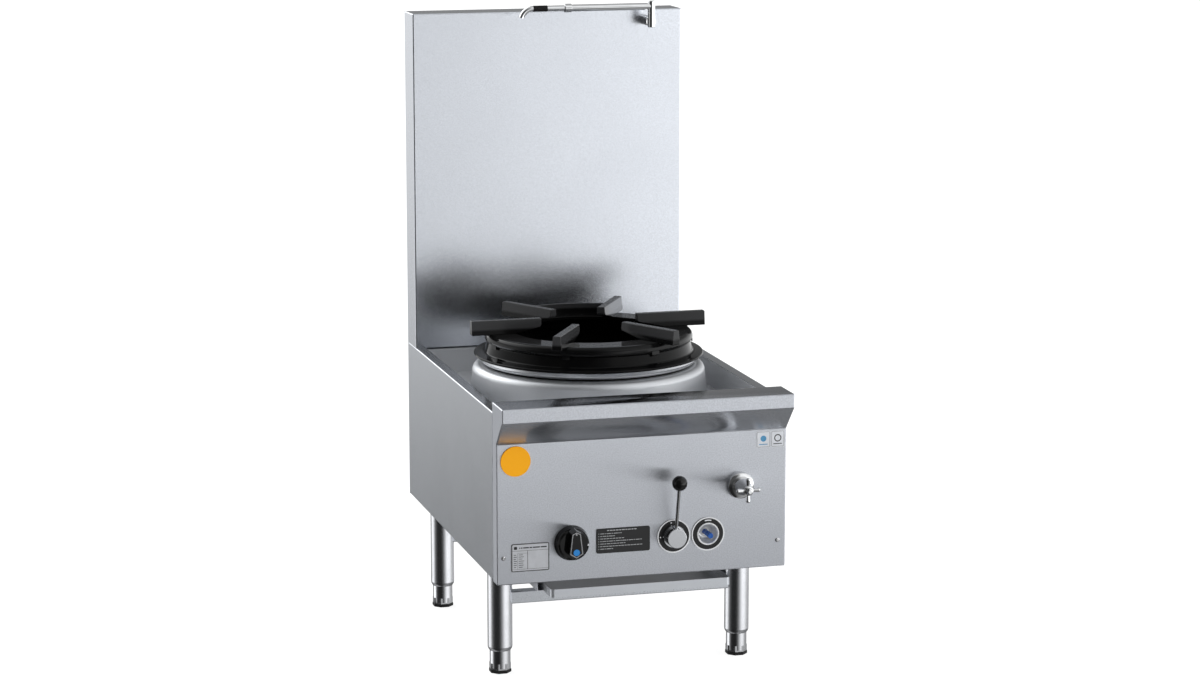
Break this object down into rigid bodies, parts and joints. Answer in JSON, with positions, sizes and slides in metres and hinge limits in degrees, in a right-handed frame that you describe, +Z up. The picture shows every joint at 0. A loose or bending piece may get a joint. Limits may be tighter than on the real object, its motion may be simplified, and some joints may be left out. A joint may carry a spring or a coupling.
{
  "type": "stock pot stove",
  "caption": "Low free-standing gas stove in stainless sheet with a raised burner ring and cast trivet, high splashback, swivel water arm, front controls, drip tray and tubular legs.",
  "frame": {"origin": "on the floor under the middle of the bounding box", "axes": "+Z up, the longest extent; controls on the -Y side; +X to the right seen from the front"},
  "size_m": [0.6, 0.886, 1.3185],
  "materials": {
    "panel_steel": "satin brushed stainless sheet",
    "side_steel": "satin brushed stainless sheet",
    "splash_steel": "satin brushed stainless sheet",
    "rear_steel": "dull stainless sheet",
    "deck_steel": "satin stainless sheet, heat dulled",
    "frame_steel": "galvanised folded steel",
    "leg_steel": "polished stainless tube",
    "foot_steel": "satin stainless foot with black base rim",
    "rail_steel": "satin stainless tube",
    "runner_steel": "satin stainless sheet",
    "tray_steel": "satin stainless sheet",
    "bolt_steel": "zinc plated",
    "screw_steel": "bright stainless",
    "collar_steel": "spun stainless, satin",
    "ring_steel": "polished stainless band",
    "black_enamel": "black glossy enamel on cast iron",
    "black_iron": "raw dark cast iron",
    "valve_brass": "machined brass",
    "pipe_steel": "zinc plated steel pipe",
    "copper_tube": "drawn copper",
    "knob_black": "black phenolic with silver index line",
    "ball_black": "glossy black",
    "hub_steel": "turned steel, satin face",
    "rod_steel": "polished rod",
    "bezel_black": "printed disc with plain ring marks",
    "dish_chrome": "polished",
    "button_blue": "blue moulded cap",
    "tap_chrome": "polished",
    "arm_chrome": "polished tube",
    "sleeve_black": "black grip sleeve",
    "badge_orange": "plain orange disc",
    "plate_black": "black plate with plain light bars",
    "plate_white": "pale plate with dark rules",
    "label_white": "blank labels"
  },
  "bodies": {
    "stove": {"fascia": "panel_steel", "side_left": "side_steel", "side_right": "side_steel", "splash_front": "splash_steel", "rear_panel": "rear_steel", "deck_pan": "deck_steel", "chassis": "frame_steel", "leg_fl": "leg_steel", "leg_fr": "leg_steel", "leg_rl": "leg_steel", "leg_rr": "leg_steel", "rail_front": "rail_steel", "rail_rear": "rail_steel", "runner_left": "runner_steel", "runner_right": "runner_steel", "leg_bolts": "bolt_steel", "panel_screws": "screw_steel", "burner_collar": "collar_steel", "rim_ring": "ring_steel", "lower_ring": "black_enamel", "burner_bowl": "black_iron", "burner_head": "black_iron", "mixer_tube": "black_iron", "main_valve": "valve_brass", "pilot_cock": "valve_brass", "ffd_valve": "valve_brass", "injector": "valve_brass", "tap_body": "valve_brass", "gas_manifold": "pipe_steel", "burner_pipe": "pipe_steel", "pilot_burner": "copper_tube", "thermocouple": "copper_tube", "water_inlet": "copper_tube", "water_riser": "copper_tube", "lever_bezel": "bezel_black", "button_bezel": "bezel_black", "button_dish": "dish_chrome", "tap_flange": "tap_chrome", "arm_bracket": "arm_chrome", "badge": "badge_orange", "instruction_plate": "plate_black", "rating_plate": "plate_white", "label_blanks": "label_white"},
    "knob": {"knob": "knob_black"},
    "lever": {"lever_hub": "hub_steel", "lever_rod": "rod_steel", "lever_ball": "ball_black"},
    "button": {"button_pin": "button_blue"},
    "tap": {"tap_handle": "tap_chrome"},
    "arm": {"arm_tube": "arm_chrome"},
    "spout": {"arm_spout": "arm_chrome", "arm_sleeve": "sleeve_black"},
    "tray": {"drip_tray": "tray_steel"},
    "trivet": {"trivet": "black_enamel"},
    "foot_fl": {"foot_fl": "foot_steel"},
    "foot_fr": {"foot_fr": "foot_steel"},
    "foot_rl": {"foot_rl": "foot_steel"},
    "foot_rr": {"foot_rr": "foot_steel"}
  },
  "joints": [
    {"name": "knob_turn", "type": "hinge", "parent": "stove", "child": "knob", "pos_m": [-0.1473, -0.391, 0.3042], "axis": [0, 1, 0], "range_deg": [0, 90]},
    {"name": "lever_swing", "type": "hinge", "parent": "stove", "child": "lever", "pos_m": [0.0643, -0.391, 0.3042], "axis": [0, -1, 0], "range_deg": [0, 90]},
    {"name": "button_press", "type": "slide", "parent": "stove", "child": "button", "axis": [0, 1, 0], "range_m": [0, 0.008], "stiffness_N_per_m": 900},
    {"name": "tap_turn", "type": "hinge", "parent": "stove", "child": "tap", "pos_m": [0.203, -0.426, 0.4005], "axis": [0, -1, 0], "range_deg": [0, 180]},
    {"name": "arm_swing", "type": "hinge", "parent": "stove", "child": "arm", "pos_m": [0.216, 0.306, 1.29], "axis": [0, 0, 1], "range_deg": [0, 175]},
    {"name": "arm_extend", "type": "slide", "parent": "arm", "child": "spout", "axis": [-1, 0, 0], "range_m": [-0.036, 0.11]},
    {"name": "tray_slide", "type": "slide", "parent": "stove", "child": "tray", "axis": [0, -1, 0], "range_m": [0, 0.45]},
    {"name": "trivet_lift", "type": "slide", "parent": "stove", "child": "trivet", "axis": [0, 0, 1], "range_m": [0, 0.15]},
    {"name": "foot_fl_turn", "type": "hinge", "parent": "stove", "child": "foot_fl", "pos_m": [-0.253, -0.2054, 0.06], "axis": [0, 0, 1], "continuous": true},
    {"name": "foot_fr_turn", "type": "hinge", "parent": "stove", "child": "foot_fr", "pos_m": [0.253, -0.2054, 0.06], "axis": [0, 0, 1], "continuous": true},
    {"name": "foot_rl_turn", "type": "hinge", "parent": "stove", "child": "foot_rl", "pos_m": [-0.253, 0.326, 0.06], "axis": [0, 0, 1], "continuous": true},
    {"name": "foot_rr_turn", "type": "hinge", "parent": "stove", "child": "foot_rr", "pos_m": [0.253, 0.326, 0.06], "axis": [0, 0, 1], "continuous": true}
  ]
}
